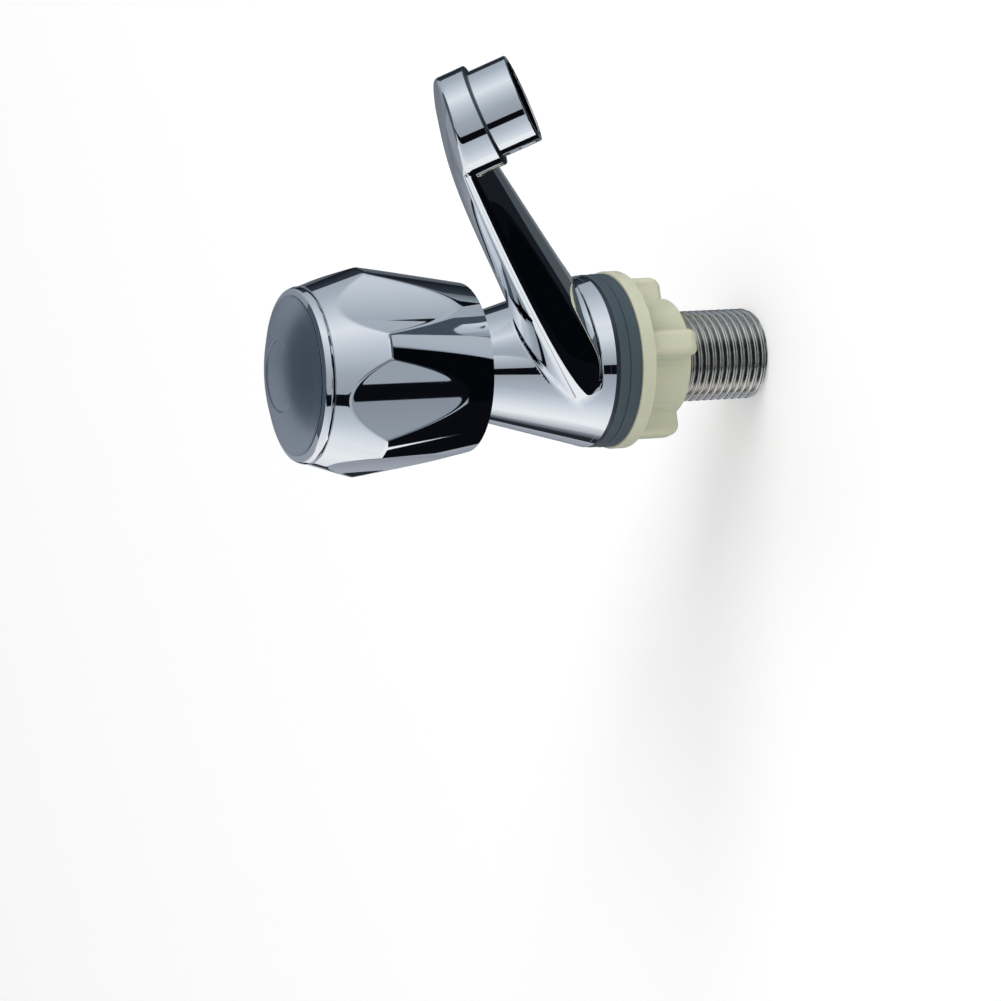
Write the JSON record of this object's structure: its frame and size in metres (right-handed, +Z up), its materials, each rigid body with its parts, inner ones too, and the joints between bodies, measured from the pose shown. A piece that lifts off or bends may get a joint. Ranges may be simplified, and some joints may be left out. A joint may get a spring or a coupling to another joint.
{
  "type": "basin pillar tap",
  "caption": "Deck-mounted pillar tap with a fluted knob, a rising tapered spout with an angled outlet, and a threaded tail with a winged back nut.",
  "frame": {"origin": "on the valve axis, in the plane of the deck, where the base washer's underside meets the clamp washer", "axes": "+Z up along the valve axis, from the threaded tail to the knob; +X along the spout, from the column to the outlet; +Y completes the right-handed frame"},
  "size_m": [0.1218, 0.0478, 0.1175],
  "materials": {
    "chrome_plate": "mirror chrome plating on cast brass",
    "satin_cap": "satin chrome plating",
    "bright_thread": "bright nickel-plated brass",
    "plain_brass": "machined bare brass",
    "grey_rubber": "slate-grey moulded rubber",
    "black_rubber": "black nitrile rubber",
    "cream_plastic": "cream injection-moulded acetal",
    "black_plastic": "black injection-moulded plastic",
    "white_plastic": "white low-friction plastic",
    "red_fibre": "pressed fibre",
    "zinc_steel": "zinc-plated steel"
  },
  "bodies": {
    "tap": {"tap_body": "chrome_plate", "inlet_tail": "bright_thread", "base_washer": "grey_rubber", "outlet_nozzle": "chrome_plate", "nozzle_washer": "black_rubber", "flow_straightener": "black_plastic", "bonnet_washer": "red_fibre", "bonnet": "plain_brass", "thrust_washer": "white_plastic", "gland_nut": "plain_brass"},
    "handle": {"spindle": "plain_brass", "spindle_o_rings": "black_rubber", "knob": "chrome_plate", "spline_insert": "white_plastic", "screw_washer": "zinc_steel", "handle_screw": "zinc_steel", "cap_ring": "chrome_plate", "cap": "satin_cap", "cap_disc": "satin_cap"},
    "jumper_set": {"jumper": "plain_brass", "jumper_washer": "black_rubber", "washer_retainer": "plain_brass", "jumper_nut": "plain_brass"},
    "deck_ring": {"clamp_washer": "grey_rubber"},
    "nut": {"back_nut": "cream_plastic"}
  },
  "joints": [
    {"name": "handle_turn", "type": "hinge", "parent": "tap", "child": "handle", "pos_m": [0, 0, 0.045], "axis": [0, 0, 1], "range_deg": [0, 810]},
    {"name": "jumper_lift", "type": "slide", "parent": "tap", "child": "jumper_set", "axis": [0, 0, 1], "range_m": [0, 0.0045]},
    {"name": "washer_travel", "type": "slide", "parent": "tap", "child": "deck_ring", "axis": [0, 0, -1], "range_m": [0, 0.01814]},
    {"name": "nut_turn", "type": "hinge", "parent": "deck_ring", "child": "nut", "pos_m": [0, 0, -0.01], "axis": [0, 0, -1], "range_deg": [0, 3600]}
  ],
  "couplings": [
    {"joint": "jumper_lift", "follows": "handle_turn", "m_per_rad": 0.00031831},
    {"joint": "washer_travel", "follows": "nut_turn", "m_per_rad": 0.00028871}
  ]
}
